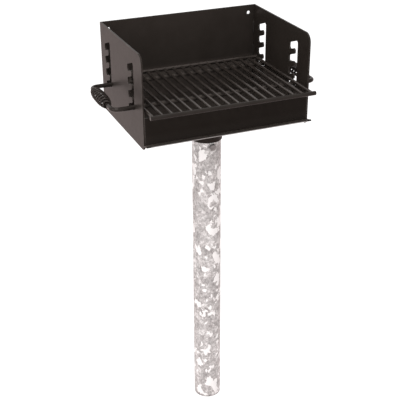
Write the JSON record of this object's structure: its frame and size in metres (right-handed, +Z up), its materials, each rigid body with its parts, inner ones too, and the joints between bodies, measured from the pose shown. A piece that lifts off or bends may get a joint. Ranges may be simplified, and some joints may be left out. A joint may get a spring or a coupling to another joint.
{
  "type": "pedestal park grill",
  "caption": "Open steel firebox with a height-adjustable bar grate and two spring-grip handles, swivelling on a round galvanised in-ground post.",
  "frame": {"origin": "centre of the bottom end of the post", "axes": "+Z up along the post, -Y towards the open front of the firebox, +X to the right seen from the front"},
  "size_m": [0.6678, 0.4215, 1.2887],
  "materials": {
    "galvanised_pipe": "hot-dip galvanised with large bright and dull spangles",
    "black_enamel": "semi-gloss black high-temperature enamel on hot-rolled plate",
    "black_grate_steel": "semi-gloss black high-temperature enamel on drawn round bar",
    "black_spring_wire": "semi-gloss black coated spring wire",
    "plain_bolt": "weathered zinc-plated hexagon bolt",
    "bare_steel": "bare greased steel tube"
  },
  "bodies": {
    "post": {"post_pipe": "galvanised_pipe", "retaining_bolt": "plain_bolt"},
    "firebox": {"left_side_plate": "black_enamel", "right_side_plate": "black_enamel", "back_plate": "black_enamel", "front_plate": "black_enamel", "floor_plate": "black_enamel", "reinforcing_plate": "black_enamel", "swivel_collar": "black_enamel", "spigot_tube": "bare_steel"},
    "grate": {"left_handle_rod": "black_grate_steel", "right_handle_rod": "black_grate_steel", "left_spring_grip": "black_spring_wire", "right_spring_grip": "black_spring_wire", "front_bar": "black_grate_steel", "back_bar": "black_grate_steel", "grate_bar_01": "black_grate_steel", "grate_bar_02": "black_grate_steel", "grate_bar_03": "black_grate_steel", "grate_bar_04": "black_grate_steel", "grate_bar_05": "black_grate_steel", "grate_bar_06": "black_grate_steel", "grate_bar_07": "black_grate_steel", "grate_bar_08": "black_grate_steel", "grate_bar_09": "black_grate_steel", "grate_bar_10": "black_grate_steel", "grate_bar_11": "black_grate_steel", "grate_bar_12": "black_grate_steel", "grate_bar_13": "black_grate_steel", "grate_bar_14": "black_grate_steel", "grate_bar_15": "black_grate_steel", "grate_bar_16": "black_grate_steel", "grate_bar_17": "black_grate_steel", "grate_bar_18": "black_grate_steel"}
  },
  "joints": [
    {"name": "firebox_swivel", "type": "hinge", "parent": "post", "child": "firebox", "pos_m": [0, 0, 1.022], "axis": [0, 0, 1], "continuous": true},
    {"name": "grate_lift", "type": "slide", "parent": "firebox", "child": "grate", "axis": [0, 0, 1], "range_m": [0, 0.122]}
  ]
}
